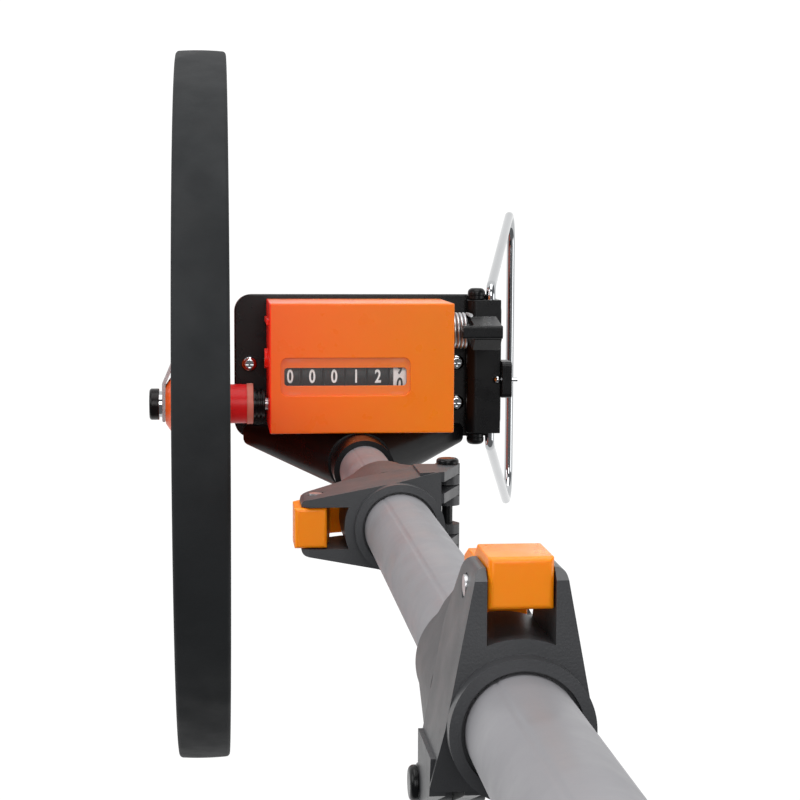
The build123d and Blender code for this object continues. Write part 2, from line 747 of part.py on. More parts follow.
tab_pin_z = stand_pin_z + flap_knuckle_radius + tab_pin_head / 2 + 0.2
with BuildPart() as stop_tab:
    with BuildSketch(level(stand_pin_z - flap_knuckle_radius)):
        with Locations((flap_right + tab_thickness / 2, tab_pin_y)):
            Rectangle(tab_thickness, tab_width)
    extrude(amount=tab_pin_z + tab_rise - stand_pin_z + flap_knuckle_radius)
    fillet(stop_tab.faces().sort_by(Axis.Z)[-1].edges().filter_by(Axis.X), tab_round)
    with BuildSketch(along_x(flap_right)):
        with Locations((tab_pin_y, tab_pin_z)):
            Circle(tab_pin_diameter / 2)
    extrude(amount=tab_thickness, mode=Mode.SUBTRACT)
save(stop_tab.part, "stop_tab")

pin_axis_z = axle_z + tab_pin_z
pin_head_r = tab_pin_head / 2
with BuildPart() as split_pin:
    pin_plane = Plane(origin=(wheel_x + flap_right - pin_head_r, tab_pin_y, pin_axis_z),
                      x_dir=(1, 0, 0), z_dir=(0, -1, 0))
    with BuildSketch(pin_plane):
        with BuildLine():
            head_out = sqrt(pin_head_r**2 - (tab_pin_diameter / 2) ** 2)
            ThreePointArc((-pin_head_r, 0), (0, pin_head_r), (head_out, tab_pin_diameter / 2))
            pin_end = pin_head_r + tab_thickness + tab_rise
            Polyline((head_out, tab_pin_diameter / 2), (pin_end, tab_pin_diameter / 2), (pin_end, 0),
                     (-pin_head_r, 0))
        make_face()
    revolve(axis=Axis((wheel_x, tab_pin_y, pin_axis_z), (1, 0, 0)))
save(split_pin.part, "split_pin")

# ==== reset lever ========================================================================
with BuildPart() as reset_shaft:
    with BuildSketch(along_x(case_right - 10)):
        with Locations((reset_y, reset_z)):
            Circle(reset_shaft_diameter / 2)
    extrude(amount=reset_end - case_right + 10)
    with BuildSketch(along_x(case_right - 10)):
        with Locations((reset_y, reset_z)):
            Circle(reset_shaft_diameter / 2 + 2)
    extrude(amount=5)
save(reset_shaft.part, "reset_shaft")

with BuildPart() as reset_lever:
    with BuildSketch(along_x(reset_hub_start)):
        with Locations((reset_y, reset_z)):
            Circle(reset_hub_diameter / 2)
        with BuildLine():
            blade_root = reset_hub_diameter / 2
            Polyline((reset_y - blade_root, reset_z), (reset_y - 8.2, reset_z + 12),
                     (reset_y - 3.0, reset_bar_height - 3), (reset_y + 3.3, reset_bar_height - 3),
                     (reset_y + blade_root, reset_z), close=True)
        make_face()
    extrude(amount=reset_end - reset_hub_start)
    with BuildSketch(along_x(reset_bar_start)):
        with Locations((reset_y + 0.4, reset_bar_height - lever_bar_size / 2)):
            RectangleRounded(lever_bar_size, lever_bar_size, 1.0)
    extrude(amount=reset_end - reset_bar_start)
    with BuildSketch(along_x(reset_hub_start)):
        with Locations((reset_y, reset_z)):
            Circle(reset_shaft_diameter / 2)
    extrude(amount=reset_end - reset_hub_start, mode=Mode.SUBTRACT)
save(reset_lever.part, "reset_lever")

coil_place = Plane(origin=(wheel_x + spring_start, reset_y, axle_z + reset_z),
                   x_dir=(0, 1, 0), z_dir=(1, 0, 0))
leg_lengths = (spring_leg_length, reset_bar_height - 10 - reset_z)
with BuildPart() as reset_spring:
    with BuildLine():
        coil = Helix(pitch=spring_pitch, height=coil_length, radius=coil_radius)
    with BuildSketch(Plane(origin=coil @ 0, z_dir=coil % 0)):
        Circle(spring_wire / 2)
    sweep(path=coil, is_frenet=True)
    for leg_plane, leg_length in zip((Plane(origin=coil @ 0, z_dir=-(coil % 0)),
                                      Plane(origin=coil @ 1, z_dir=coil % 1)), leg_lengths):
        with BuildSketch(leg_plane):
            Circle(spring_wire / 2)
        extrude(amount=leg_length)
save(reset_spring.part.moved(coil_place.location), "reset_spring")

# ==== folding handle =====================================================================
knuckle_step = knuckle_thickness + knuckle_gap
knuckle_first = knuckle_middle_gap / 2
lower_slots = [knuckle_first, knuckle_first + 2 * knuckle_step]
upper_slots = [knuckle_first + knuckle_step, knuckle_first + 3 * knuckle_step]
barrel_half = upper_slots[-1] + knuckle_thickness
latch_half = latch_width / 2
lug_start = latch_half + latch_side_gap
lug_end = lug_start + lug_thickness


def make_fold_half(upward, collar_length, tube_diameter, slots, pin_fit, has_lugs):
    """Half of a folding joint round a tube; upward is 1 over the parting plane and -1 under it.

    Its own frame has the tube's axis up Z, the parting plane at z = 0 and the fold pin at +X.
    """
    face = upward * collar_gap / 2
    end = upward * collar_length
    slot_outer = slots[-1] + knuckle_thickness
    flare_x = fold_pin_offset - knuckle_radius - 0.7 - housing_corner
    shoulder = end - upward * collar_ring
    keeper_x = -collar_radius - keeper_reach_out
    with BuildPart() as half:
        with BuildSketch(Plane.XY.offset(face)):
            Circle(collar_radius)
            for side in (1, -1):
                with Locations((flare_x, side * (slot_outer - housing_corner))):
                    Circle(housing_corner)
                if has_lugs:
                    with Locations((lug_corner - lug_reach, side * (lug_end - lug_corner))):
                        Circle(lug_corner)
                else:
                    with Locations((keeper_x + housing_corner, side * (latch_half - housing_corner))):
                        Circle(housing_corner)
            make_hull()
        extrude(amount=end - face)
        with BuildSketch(Plane.XZ):
            with BuildLine():
                if has_lugs:
                    Polyline((collar_radius, face), (-collar_radius, face), (-collar_radius - 3, 1),
                             (-lug_reach + 3, latch_pivot_up - 9), (-lug_reach, latch_pivot_up - 5),
                             (-lug_reach, shoulder - 2.5), (-lug_reach + 2.5, shoulder),
                             (0, shoulder), (collar_radius, shoulder - 6), close=True)
                else:
                    Polyline((collar_radius, face), (-collar_radius, face),
                             (-collar_radius, keeper_ledge), (keeper_x, keeper_ledge - 2),
                             (keeper_x, shoulder + 4), (-collar_radius, shoulder), (0, shoulder),
                             (collar_radius, shoulder + 7), close=True)
            make_face()
        extrude(amount=lug_reach, both=True, mode=Mode.INTERSECT)
        with BuildSketch(Plane.XY.offset(face)):
            Circle(collar_radius)
        extrude(amount=end - face)
        for slot in slots:
            for low in (slot, -slot - knuckle_thickness):
                with BuildSketch(Plane(origin=(0, low, 0), x_dir=(1, 0, 0), z_dir=(0, -1, 0))):
                    with BuildLine():
                        Polyline((8, face), (fold_pin_offset, face),
                                 (fold_pin_offset + knuckle_radius * 0.8, upward * 2.7),
                                 (collar_radius + 1, end - upward * 11), (8, end - upward * 9),
                                 close=True)
                    make_face()
                    with Locations((fold_pin_offset, 0)):
                        Circle(knuckle_radius)
                extrude(amount=-knuckle_thickness)
        if has_lugs:
            with BuildSketch(Plane.XY):
                with Locations((-collar_radius - lug_reach / 2, 0)):
                    Rectangle(lug_reach, 2 * lug_start)
                Circle(collar_radius + housing_floor, mode=Mode.SUBTRACT)
            extrude(amount=end, mode=Mode.SUBTRACT)
            with BuildSketch(Plane.XZ):
                with Locations((-latch_pivot_out, latch_pivot_up)):
                    Circle(latch_pin_diameter / 2)
            extrude(amount=lug_reach, both=True, mode=Mode.SUBTRACT)
            for side in (1, -1):
                with BuildSketch(Plane(origin=(-latch_pivot_out, side * lug_end, latch_pivot_up),
                                       x_dir=(1, 0, 0), z_dir=(0, side, 0))):
                    Circle(latch_pin_head / 2 + 0.4)
                extrude(amount=collar_radius, mode=Mode.SUBTRACT)
        else:
            with BuildSketch(Plane.XY.offset(latch_bottom - 2)):
                with Locations((-collar_radius, 0)):
                    Rectangle(2 * keeper_depth, latch_width * 0.8)
            extrude(amount=6, mode=Mode.SUBTRACT)
        with BuildSketch(Plane.XZ):
            with Locations((fold_pin_offset, 0)):
                Circle(fold_pin_diameter / 2 + pin_fit)
        extrude(amount=lug_reach, both=True, mode=Mode.SUBTRACT)
        with BuildSketch(Plane.XY):
            Circle(tube_diameter / 2)
        extrude(amount=end, mode=Mode.SUBTRACT)
        with BuildSketch(Plane.XY.offset(end)):
            Circle(tube_diameter / 2 + mouth_gap)
        extrude(amount=-upward * mouth_depth, mode=Mode.SUBTRACT)
    return half.part


def make_fold_pin():
    """The domed pin of a folding joint, along Y, in the joint's own frame."""
    with BuildPart() as pin:
        with BuildSketch(Plane.XZ):
            with Locations((fold_pin_offset, 0)):
                Circle(fold_pin_diameter / 2)
        extrude(amount=barrel_half + knuckle_gap, both=True)
        for side in (1, -1):
            head_plane = Plane(origin=(fold_pin_offset, side * (barrel_half + knuckle_gap), 0),
                               x_dir=(1, 0, 0), z_dir=(0, side, 0))
            with BuildSketch(head_plane):
                Circle(pin_head_diameter / 2)
            extrude(amount=pin_head_height)
        fillet(pin.faces().sort_by(Axis.Y)[-1].edges(), fold_pin_round)
        fillet(pin.faces().sort_by(Axis.Y)[0].edges(), fold_pin_round)
    return pin.part


def make_latch():
    """The sprung latch block on the side away from the fold pin, in the joint's own frame."""
    with BuildPart() as latch:
        with BuildSketch(Plane.XZ):
            with BuildLine():
                Polyline((-latch_inner, latch_top), (-latch_reach, latch_top), (-latch_reach, 12),
                         (-latch_reach + 3.5, 7), (-latch_reach + 3.5, -2),
                         (-latch_reach + 6, latch_bottom), (-latch_nose, latch_bottom),
                         (-latch_nose, latch_bottom + 3.5), (-latch_nose - 5.5, -2.5),
                         (-latch_nose - 7, 3), (-latch_nose - 7, 14), (-latch_inner, 20), close=True)
            make_face()
            with Locations((-latch_pivot_out, latch_pivot_up)):
                Circle(latch_pin_diameter / 2 + running_clearance, mode=Mode.SUBTRACT)
        extrude(amount=latch_half, both=True)
        fillet(latch.faces().sort_by(Axis.Z)[-1].edges(), latch_round)
    return latch.part


def make_latch_pin():
    """The latch's pivot pin, headed outside both lugs, in the joint's own frame."""
    with BuildPart() as pin:
        with BuildSketch(Plane.XZ):
            with Locations((-latch_pivot_out, latch_pivot_up)):
                Circle(latch_pin_diameter / 2)
        extrude(amount=lug_end, both=True)
        for side in (1, -1):
            head_plane = Plane(origin=(-latch_pivot_out, side * lug_end, latch_pivot_up),
                               x_dir=(1, 0, 0), z_dir=(0, side, 0))
            with BuildSketch(head_plane):
                Circle(latch_pin_head / 2)
            extrude(amount=latch_pin_head_height)
    return pin.part


lower_collar = {1: lower_tube_diameter, 2: handle_tube_diameter}
fold_height = {1: fold_1_height, 2: fold_2_height}
fold_turn = {1: 0, 2: -90}
for fold in (1, 2):
    place = Location((wheel_x + tube_x, tube_y, axle_z + fold_height[fold]), (0, 0, fold_turn[fold]))
    lower_half = make_fold_half(-1, lower_collar_length, lower_collar[fold], lower_slots, 0, False)
    upper_half = make_fold_half(1, upper_collar_length, handle_tube_diameter, upper_slots,
                                running_clearance, True)
    save(lower_half.moved(place), f"fold_{fold}_lower")
    save(upper_half.moved(place), f"fold_{fold}_upper")
    save(make_fold_pin().moved(place), f"fold_{fold}_pin")
    save(make_latch().moved(place), f"latch_{fold}")
    save(make_latch_pin().moved(place), f"latch_{fold}_pin")

cap_low = handle_top - cap_length
grip_low = cap_low - grip_length
save(make_tube(tube_x, tube_y, fold_1_height + collar_gap / 2, fold_2_height - collar_gap / 2,
               handle_tube_diameter, tube_wall), "middle_tube")
save(make_tube(tube_x, tube_y, fold_2_height + collar_gap / 2, cap_low,
               handle_tube_diameter, tube_wall), "upper_tube")

with BuildPart() as grip:
    with BuildSketch(level(grip_low)):
        with Locations((tube_x, tube_y)):
            Circle(grip_diameter / 2)
    extrude(amount=grip_length)
    fillet(grip.faces().sort_by(Axis.Z)[0].edges(), grip_round)
    for groove_index in range(grip_groove_count):
        groove_z = grip_low + grip_length * (groove_index + 1.5) / (grip_groove_count + 2)
        with BuildSketch(level(groove_z)):
            with Locations((tube_x, tube_y)):
                Circle(grip_diameter / 2 + grip_groove_depth)
                Circle(grip_diameter / 2 - grip_groove_depth, mode=Mode.SUBTRACT)
        extrude(amount=grip_groove_width, mode=Mode.SUBTRACT)
    with BuildSketch(level(grip_low)):
        with Locations((tube_x, tube_y)):
            Circle(handle_tube_diameter / 2)
    extrude(amount=grip_length, mode=Mode.SUBTRACT)
save(grip.part, "grip")

with BuildPart() as end_cap:
    with BuildSketch(level(cap_low)):
        with Locations((tube_x, tube_y)):
            Circle(grip_diameter / 2)
    extrude(amount=cap_base)
    fillet(end_cap.faces().sort_by(Axis.Z)[-1].edges(), cap_round)
    with BuildSketch(level(cap_low - cap_plug)):
        with Locations((tube_x, tube_y)):
            Circle(handle_tube_diameter / 2 - tube_wall)
    extrude(amount=cap_plug)
    with BuildSketch(facing_back(tube_y)):
        with Locations((tube_x, handle_top - hang_eye_width / 2)):
            Circle(hang_eye_width / 2)
        with Locations((tube_x, (handle_top - hang_eye_width / 2 + cap_low) / 2)):
            Rectangle(hang_eye_width, handle_top - hang_eye_width / 2 - cap_low)
        with Locations((tube_x, handle_top - hang_eye_width / 2)):
            Circle(hang_hole_diameter / 2, mode=Mode.SUBTRACT)
    extrude(amount=hang_eye_thickness / 2, both=True)
save(end_cap.part, "end_cap")
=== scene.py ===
"""The looks of a one-metre measuring wheel: its rubber, plastics, metals and printed digits.

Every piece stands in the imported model's own frame, in metres: +Z up the handle, +X from the
wheel to the side stand and +Y forwards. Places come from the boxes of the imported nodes.
"""
from __future__ import annotations

import bmesh
import bpy
import json
import logging
import math
from dataclasses import dataclass, field
from enum import Enum
from mathutils import Matrix, Vector

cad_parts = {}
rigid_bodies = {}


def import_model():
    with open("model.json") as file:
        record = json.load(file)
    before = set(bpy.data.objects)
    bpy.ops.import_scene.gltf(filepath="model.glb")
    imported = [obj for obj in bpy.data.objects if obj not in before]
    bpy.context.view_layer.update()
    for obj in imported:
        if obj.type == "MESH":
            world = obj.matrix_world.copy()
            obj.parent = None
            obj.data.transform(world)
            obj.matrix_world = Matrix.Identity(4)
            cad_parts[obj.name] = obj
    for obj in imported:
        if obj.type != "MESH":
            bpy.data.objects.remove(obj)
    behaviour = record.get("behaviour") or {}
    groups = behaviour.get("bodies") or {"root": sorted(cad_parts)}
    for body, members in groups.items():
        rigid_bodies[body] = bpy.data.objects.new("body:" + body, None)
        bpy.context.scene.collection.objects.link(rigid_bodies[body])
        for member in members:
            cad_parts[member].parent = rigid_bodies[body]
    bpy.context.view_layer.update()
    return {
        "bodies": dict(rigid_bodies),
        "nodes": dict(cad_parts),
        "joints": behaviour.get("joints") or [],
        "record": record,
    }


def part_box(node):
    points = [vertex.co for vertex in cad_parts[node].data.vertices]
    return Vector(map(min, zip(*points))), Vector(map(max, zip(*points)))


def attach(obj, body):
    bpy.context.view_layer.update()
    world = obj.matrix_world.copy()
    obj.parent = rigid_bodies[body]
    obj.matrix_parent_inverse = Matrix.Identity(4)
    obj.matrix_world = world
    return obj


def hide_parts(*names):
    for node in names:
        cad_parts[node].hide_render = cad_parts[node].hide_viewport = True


logging.basicConfig(level=logging.INFO, format="%(levelname)s %(message)s")
log = logging.getLogger("measuring_wheel")

MM = 0.001
CREASE = 32.0
MERGE = 2e-6
SLIVER = 1e-6
FLAT = 0.6
RGB = tuple[float, float, float]
Point = tuple[float, float, float]
INK_BLACK: RGB = (0.004, 0.004, 0.0045)
INK_WHITE: RGB = (0.92, 0.92, 0.90)


class Turning(Enum):
    """The way along which a lathed piece's axis runs."""

    ALONG_X = "x"
    ALONG_Z = "z"


class Brushing(Enum):
    """How a metal's fine scratches run."""

    TURNED = "turned"
    DRAWN = "drawn"
    NONE = "none"


# ---- finishes -------------------------------------------------------------------------------
class Graph:
    """A short way to write one material's nodes and links."""

    def __init__(self, name: str) -> None:
        """Start an empty material with one principled shader on its output.

        Args:
            name: The material's name.
        """
        self.material = bpy.data.materials.new(name)
        self.material.use_nodes = True
        self.tree = self.material.node_tree
        self.tree.nodes.clear()
        self.output = self.add("ShaderNodeOutputMaterial")
        self.shader = self.add("ShaderNodeBsdfPrincipled")
        self.link(self.shader.outputs["BSDF"], self.output.inputs["Surface"])
        self.place = self.add("ShaderNodeTexCoord").outputs["Object"]

    def add(self, kind: str, **values: object) -> bpy.types.Node:
        """Add a node and set its plain properties.

        Args:
            kind: The node's type name.
            **values: Properties to set on the node.

        Returns:
            The new node.
        """
        node = self.tree.nodes.new(kind)
        for key, value in values.items():
            setattr(node, key, value)
        return node

    def link(self, start: bpy.types.NodeSocket, end: bpy.types.NodeSocket) -> None:
        """Join two sockets.

        Args:
            start: The output socket.
            end: The input socket.
        """
        self.tree.links.new(start, end)

    def noise(self, scale: float, detail: float = 3.0, stretch: Point = (1, 1, 1),
              rough: float = 0.5) -> bpy.types.NodeSocket:
        """Make a noise that follows the object's own coordinates.

        Args:
            scale: Features per metre.
            detail: Number of octaves.
            stretch: A factor for each axis; a small one draws the noise out along it.
            rough: How strong the fine octaves are.

        Returns:
            The noise's value socket.
        """
        mapping = self.add("ShaderNodeMapping")
        mapping.inputs["Scale"].default_value = stretch
        self.link(self.place, mapping.inputs["Vector"])
        noise = self.add("ShaderNodeTexNoise")
        noise.inputs["Scale"].default_value = scale
        noise.inputs["Detail"].default_value = detail
        noise.inputs["Roughness"].default_value = rough
        self.link(mapping.outputs["Vector"], noise.inputs["Vector"])
        return noise.outputs["Fac"]

    def spread(self, value: bpy.types.NodeSocket, low: float, high: float,
               start: float = 0.3, stop: float = 0.7) -> bpy.types.NodeSocket:
        """Map a value's middle range onto low to high.

        Args:
            value: The socket to map.
            low: The result at start and under it.
            high: The result at stop and over it.
            start: The value that gives low.
            stop: The value that gives high.

        Returns:
            The mapped value's socket.
        """
        node = self.add("ShaderNodeMapRange")
        node.inputs["From Min"].default_value = start
        node.inputs["From Max"].default_value = stop
        node.inputs["To Min"].default_value = low
        node.inputs["To Max"].default_value = high
        self.link(value, node.inputs["Value"])
        return node.outputs["Result"]

    def tint(self, factor: bpy.types.NodeSocket, dark: RGB, light: RGB) -> bpy.types.NodeSocket:
        """Blend two colours by a factor.

        Args:
            factor: 0 gives dark and 1 gives light.
            dark: The first colour.
            light: The second colour.

        Returns:
            The blended colour's socket.
        """
        mix = self.add("ShaderNodeMix", data_type="RGBA")
        mix.inputs["A"].default_value = (*dark, 1.0)
        mix.inputs["B"].default_value = (*light, 1.0)
        self.link(factor, mix.inputs["Factor"])
        return mix.outputs["Result"]

    def blend(self, factor: bpy.types.NodeSocket, under: bpy.types.NodeSocket,
              over: RGB) -> bpy.types.NodeSocket:
        """Lay a plain colour over a varied one by a factor.

        Args:
            factor: 0 keeps the varied colour and 1 gives the plain one.
            under: The varied colour's socket.
            over: The plain colour.

        Returns:
            The blended colour's socket.
        """
        mix = self.add("ShaderNodeMix", data_type="RGBA")
        mix.inputs["B"].default_value = (*over, 1.0)
        self.link(under, mix.inputs["A"])
        self.link(factor, mix.inputs["Factor"])
        return mix.outputs["Result"]

    def across(self, start: float, stop: float) -> bpy.types.NodeSocket:
        """Make a ramp along the object's own X axis.

        Args:
            start: The place, in metres, where the ramp is 0.
            stop: The place where it reaches 1, on either side of start.

        Returns:
            The ramp's value socket.
        """
        split = self.add("ShaderNodeSeparateXYZ")
        self.link(self.place, split.inputs["Vector"])
        return self.spread(split.outputs["X"], 0.0, 1.0, start, stop)

    def bump(self, height: bpy.types.NodeSocket, depth: float,
             under: bpy.types.NodeSocket | None = None) -> bpy.types.NodeSocket:
        """Make a bump of a real depth from a height.

        Args:
            height: The height's socket, 0 to 1.
            depth: The depth in metres of a height of 1.
            under: An earlier bump's normal, to lay this one over.

        Returns:
            The bumped normal's socket.
        """
        node = self.add("ShaderNodeBump")
        node.inputs["Strength"].default_value = 1.0
        node.inputs["Distance"].default_value = depth
        self.link(height, node.inputs["Height"])
        if under is not None:
            self.link(under, node.inputs["Normal"])
        return node.outputs["Normal"]


def shade(colour: RGB, factor: float) -> RGB:
    """Scale a colour's brightness.

    Args:
        colour: The colour.
        factor: What each part is multiplied by.

    Returns:
        The scaled colour, with no part over 1.
    """
    return tuple(min(1.0, part * factor) for part in colour)


@dataclass(frozen=True)
class MouldedPlastic:
    """An injection-moulded plastic with spark-eroded grain, flow mottling and light rubbing."""

    name: str
    colour: RGB
    roughness: float = 0.38
    grain: float = 1400.0
    grain_depth: float = 0.02 * MM
    mottle: float = 0.08
    coat: float = 0.0
    shine: float = 0.5
    glow: float = 0.0
    # Colour ramps along X: printed bands on some finishes, painted shade and glow on others.
    fades: tuple[tuple[RGB, float, float], ...] = ()

    def build(self) -> bpy.types.Material:
        """Make the material.

        Returns:
            The finished material.
        """
        graph = Graph(self.name)
        flow = graph.noise(38.0, 4.0, (1.0, 0.7, 0.5))
        colour = graph.tint(graph.spread(flow, 0, 1), shade(self.colour, 1 - self.mottle),
                            shade(self.colour, 1 + self.mottle))
        # Lay each ramp: a printed band, or painted shade and glow.
        for deep, start, stop in self.fades:
            colour = graph.blend(graph.across(start, stop), colour, deep)
        graph.link(colour, graph.shader.inputs["Base Color"])
        rub = graph.noise(90.0, 5.0)
        rough = graph.spread(rub, self.roughness - 0.05, self.roughness + 0.07)
        graph.link(rough, graph.shader.inputs["Roughness"])
        fine = graph.noise(self.grain, 2.0)
        graph.link(graph.bump(fine, self.grain_depth), graph.shader.inputs["Normal"])
        graph.shader.inputs["Subsurface Weight"].default_value = self.glow
        graph.shader.inputs["Subsurface Radius"].default_value = (1.0, 0.08, 0.03)
        graph.shader.inputs["Subsurface Scale"].default_value = 5.0 * MM
        graph.shader.inputs["Specular IOR Level"].default_value = self.shine
        graph.shader.inputs["Coat Weight"].default_value = self.coat
        graph.shader.inputs["Coat Roughness"].default_value = 0.12
        graph.shader.inputs["IOR"].default_value = 1.5
        return graph.material


@dataclass(frozen=True)
class Metal:
    """A bare, plated or anodised metal with the fine scratches that its making leaves."""

    name: str
    colour: RGB
    roughness: float = 0.25
    brushing: Brushing = Brushing.NONE
    scratch_depth: float = 0.004 * MM
    metallic: float = 1.0

    def build(self) -> bpy.types.Material:
        """Make the material.

        Returns:
            The finished material.
        """
        graph = Graph(self.name)
        stretch = {Brushing.TURNED: (30.0, 1.0, 1.0), Brushing.DRAWN: (1.0, 1.0, 0.012),
                   Brushing.NONE: (1.0, 1.0, 1.0)}[self.brushing]
        scratches = graph.noise(1500.0 if self.brushing is Brushing.DRAWN else 220.0, 3.0, stretch)
        cloud = graph.noise(26.0, 4.0)
        colour = graph.tint(graph.spread(cloud, 0, 1), shade(self.colour, 0.94),
                            shade(self.colour, 1.05))
        graph.link(colour, graph.shader.inputs["Base Color"])
        smear = graph.noise(70.0, 6.0)
        rough = graph.spread(smear, self.roughness * 0.8, self.roughness * 1.25)
        graph.link(rough, graph.shader.inputs["Roughness"])
        graph.link(graph.bump(scratches, self.scratch_depth), graph.shader.inputs["Normal"])
        graph.shader.inputs["Metallic"].default_value = self.metallic
        return graph.material


@dataclass(frozen=True)
class Rubber:
    """A matt rubber, with a bloom of dust and a fine leathery grain."""

    name: str
    colour: RGB
    roughness: float = 0.62
    bloom: float = 0.35
    grain: float = 900.0

    def build(self) -> bpy.types.Material:
        """Make the material.

        Returns:
            The finished material.
        """
        graph = Graph(self.name)
        dust = graph.noise(22.0, 6.0, rough=0.6)
        colour = graph.tint(graph.spread(dust, 0, 1), shade(self.colour, 1 - self.bloom / 2),
                            shade(self.colour, 1 + self.bloom))
        graph.link(colour, graph.shader.inputs["Base Color"])
        wear = graph.noise(60.0, 5.0)
        rough = graph.spread(wear, self.roughness - 0.08, self.roughness + 0.1)
        graph.link(rough, graph.shader.inputs["Roughness"])
        coarse = graph.bump(graph.noise(180.0, 4.0), 0.05 * MM)
        fine = graph.bump(graph.noise(self.grain, 2.0), 0.03 * MM, coarse)
        graph.link(fine, graph.shader.inputs["Normal"])
        graph.shader.inputs["Specular IOR Level"].default_value = 0.25
        return graph.material


@dataclass(frozen=True)
class ClearPlastic:
    """A clear moulded window with a faint haze and hairline scratches."""

    name: str
    colour: RGB
    alpha: float = 0.03

    def build(self) -> bpy.types.Material:
        """Make the material.

        Returns:
            The finished material.
        """
        graph = Graph(self.name)
        haze = graph.noise(45.0, 5.0)
        graph.link(graph.tint(haze, shade(self.colour, 0.93), self.colour),
                   graph.shader.inputs["Base Color"])
        graph.link(graph.spread(haze, 0.04, 0.1), graph.shader.inputs["Roughness"])
        hairlines = graph.noise(500.0, 2.0, (0.03, 1.0, 1.0))
        graph.link(graph.bump(hairlines, 0.003 * MM), graph.shader.inputs["Normal"])
        graph.shader.inputs["Alpha"].default_value = self.alpha
        graph.shader.inputs["Specular IOR Level"].default_value = 0.3
        graph.shader.inputs["IOR"].default_value = 1.58
        return graph.material


@dataclass(frozen=True)
class Palette:
    """The finishes that need no places from the frame; most have the record's slot names."""

    finishes: tuple = (
        Rubber("rubber_black", (0.0125, 0.0138, 0.015), 0.7, bloom=0.3),
        MouldedPlastic("latch_orange", (0.86, 0.235, 0.003), 0.30, mottle=0.01, shine=0.3,
                       glow=0.25),
        MouldedPlastic("black_gloss", (0.003, 0.0031, 0.0036), 0.28, grain=500.0,
                       grain_depth=0.008 * MM, shine=0.22),
        MouldedPlastic("dark_grey", (0.036, 0.037, 0.040), 0.42, grain=1700.0,
                       grain_depth=0.05 * MM, mottle=0.14),
        MouldedPlastic("pink_nylon", (0.62, 0.25, 0.18), 0.45),
        MouldedPlastic("drum_black", INK_BLACK, 0.4, shine=0.2),
        MouldedPlastic("drum_white", INK_WHITE, 0.4, mottle=0.02),
        MouldedPlastic("gear_nylon", (0.72, 0.70, 0.62), 0.45),
        Metal("steel", (0.50, 0.50, 0.51), 0.3, Brushing.TURNED),
        Metal("chrome", (0.46, 0.47, 0.48), 0.09, Brushing.NONE, 0.002 * MM),
        Metal("anodised", (0.24, 0.237, 0.25), 0.5, Brushing.DRAWN, 0.003 * MM, metallic=0.3),
        Metal("bronze", (0.52, 0.36, 0.17), 0.34, Brushing.TURNED),
        ClearPlastic("clear", (0.95, 0.93, 0.92)),
        Rubber("grip_rubber", (0.016, 0.016, 0.017), 0.58, bloom=0.25, grain=1300.0),
    )

    def build(self) -> dict[str, bpy.types.Material]:
        """Make every material once.

        Returns:
            The materials by slot name.
        """
        return {finish.name: finish.build() for finish in self.finishes}


# ---- shapes ---------------------------------------------------------------------------------
def to_object(name: str, mesh: bmesh.types.BMesh, crease_angle: float = CREASE) -> bpy.types.Object:
    """Turn a working mesh into a smooth-shaded object with sharp creases.

    Args:
        name: The object's name.
        mesh: The working mesh, which is freed.
        crease_angle: Edges that turn more than this many degrees stay sharp.

    Returns:
        The new object, linked into the scene.
    """
    bmesh.ops.recalc_face_normals(mesh, faces=mesh.faces)
    data = bpy.data.meshes.new(name)
    mesh.to_mesh(data)
    mesh.free()
    return link_mesh(name, data, crease_angle)


def link_mesh(name: str, data: bpy.types.Mesh, crease_angle: float = CREASE) -> bpy.types.Object:
    """Shade a mesh smooth between its creases and link it into the scene.

    Args:
        name: The object's name.
        data: The mesh.
        crease_angle: Edges that turn more than this many degrees stay sharp.

    Returns:
        The new object.
    """
    for face in data.polygons:
        face.use_smooth = True
    data.set_sharp_from_angle(angle=math.radians(crease_angle))
    piece = bpy.data.objects.new(name, data)
    bpy.context.scene.collection.objects.link(piece)
    return piece


def lathe(name: str, profile: list[tuple[float, float]], centre: Vector, turning: Turning,
          segments: int = 96, start: float = 0.0) -> bpy.types.Object:
    """Turn a closed profile of (along, radius) points round an axis.

    Args:
        name: The object's name.
        profile: The outline's points; radius 0 is on the axis.
        centre: A point on the axis that the places along it count from.
        turning: The way the axis runs.
        segments: Steps round the axis.
        start: The angle of the first step, in radians.

    Returns:
        The turned object.
    """
    mesh = bmesh.new()
    rings = []
    for step in range(segments):
        angle = start + 2 * math.pi * step / segments
        side, rise = math.cos(angle), math.sin(angle)
        ring = []
        for along, radius in profile:
            offset = (along, radius * side, radius * rise)
            if turning is Turning.ALONG_Z:
                offset = (radius * side, radius * rise, along)
            ring.append(mesh.verts.new(centre + Vector(offset)))
        rings.append(ring)
    count = len(profile)
    for step in range(segments):
        here, there = rings[step], rings[(step + 1) % segments]
        for i in range(count):
            j = (i + 1) % count
            if profile[i][1] > 0 or profile[j][1] > 0:
                mesh.faces.new((here[i], here[j], there[j], there[i]))
    bmesh.ops.remove_doubles(mesh, verts=mesh.verts, dist=1e-7)
    bmesh.ops.dissolve_degenerate(mesh, edges=mesh.edges, dist=1e-8)
    return to_object(name, mesh)


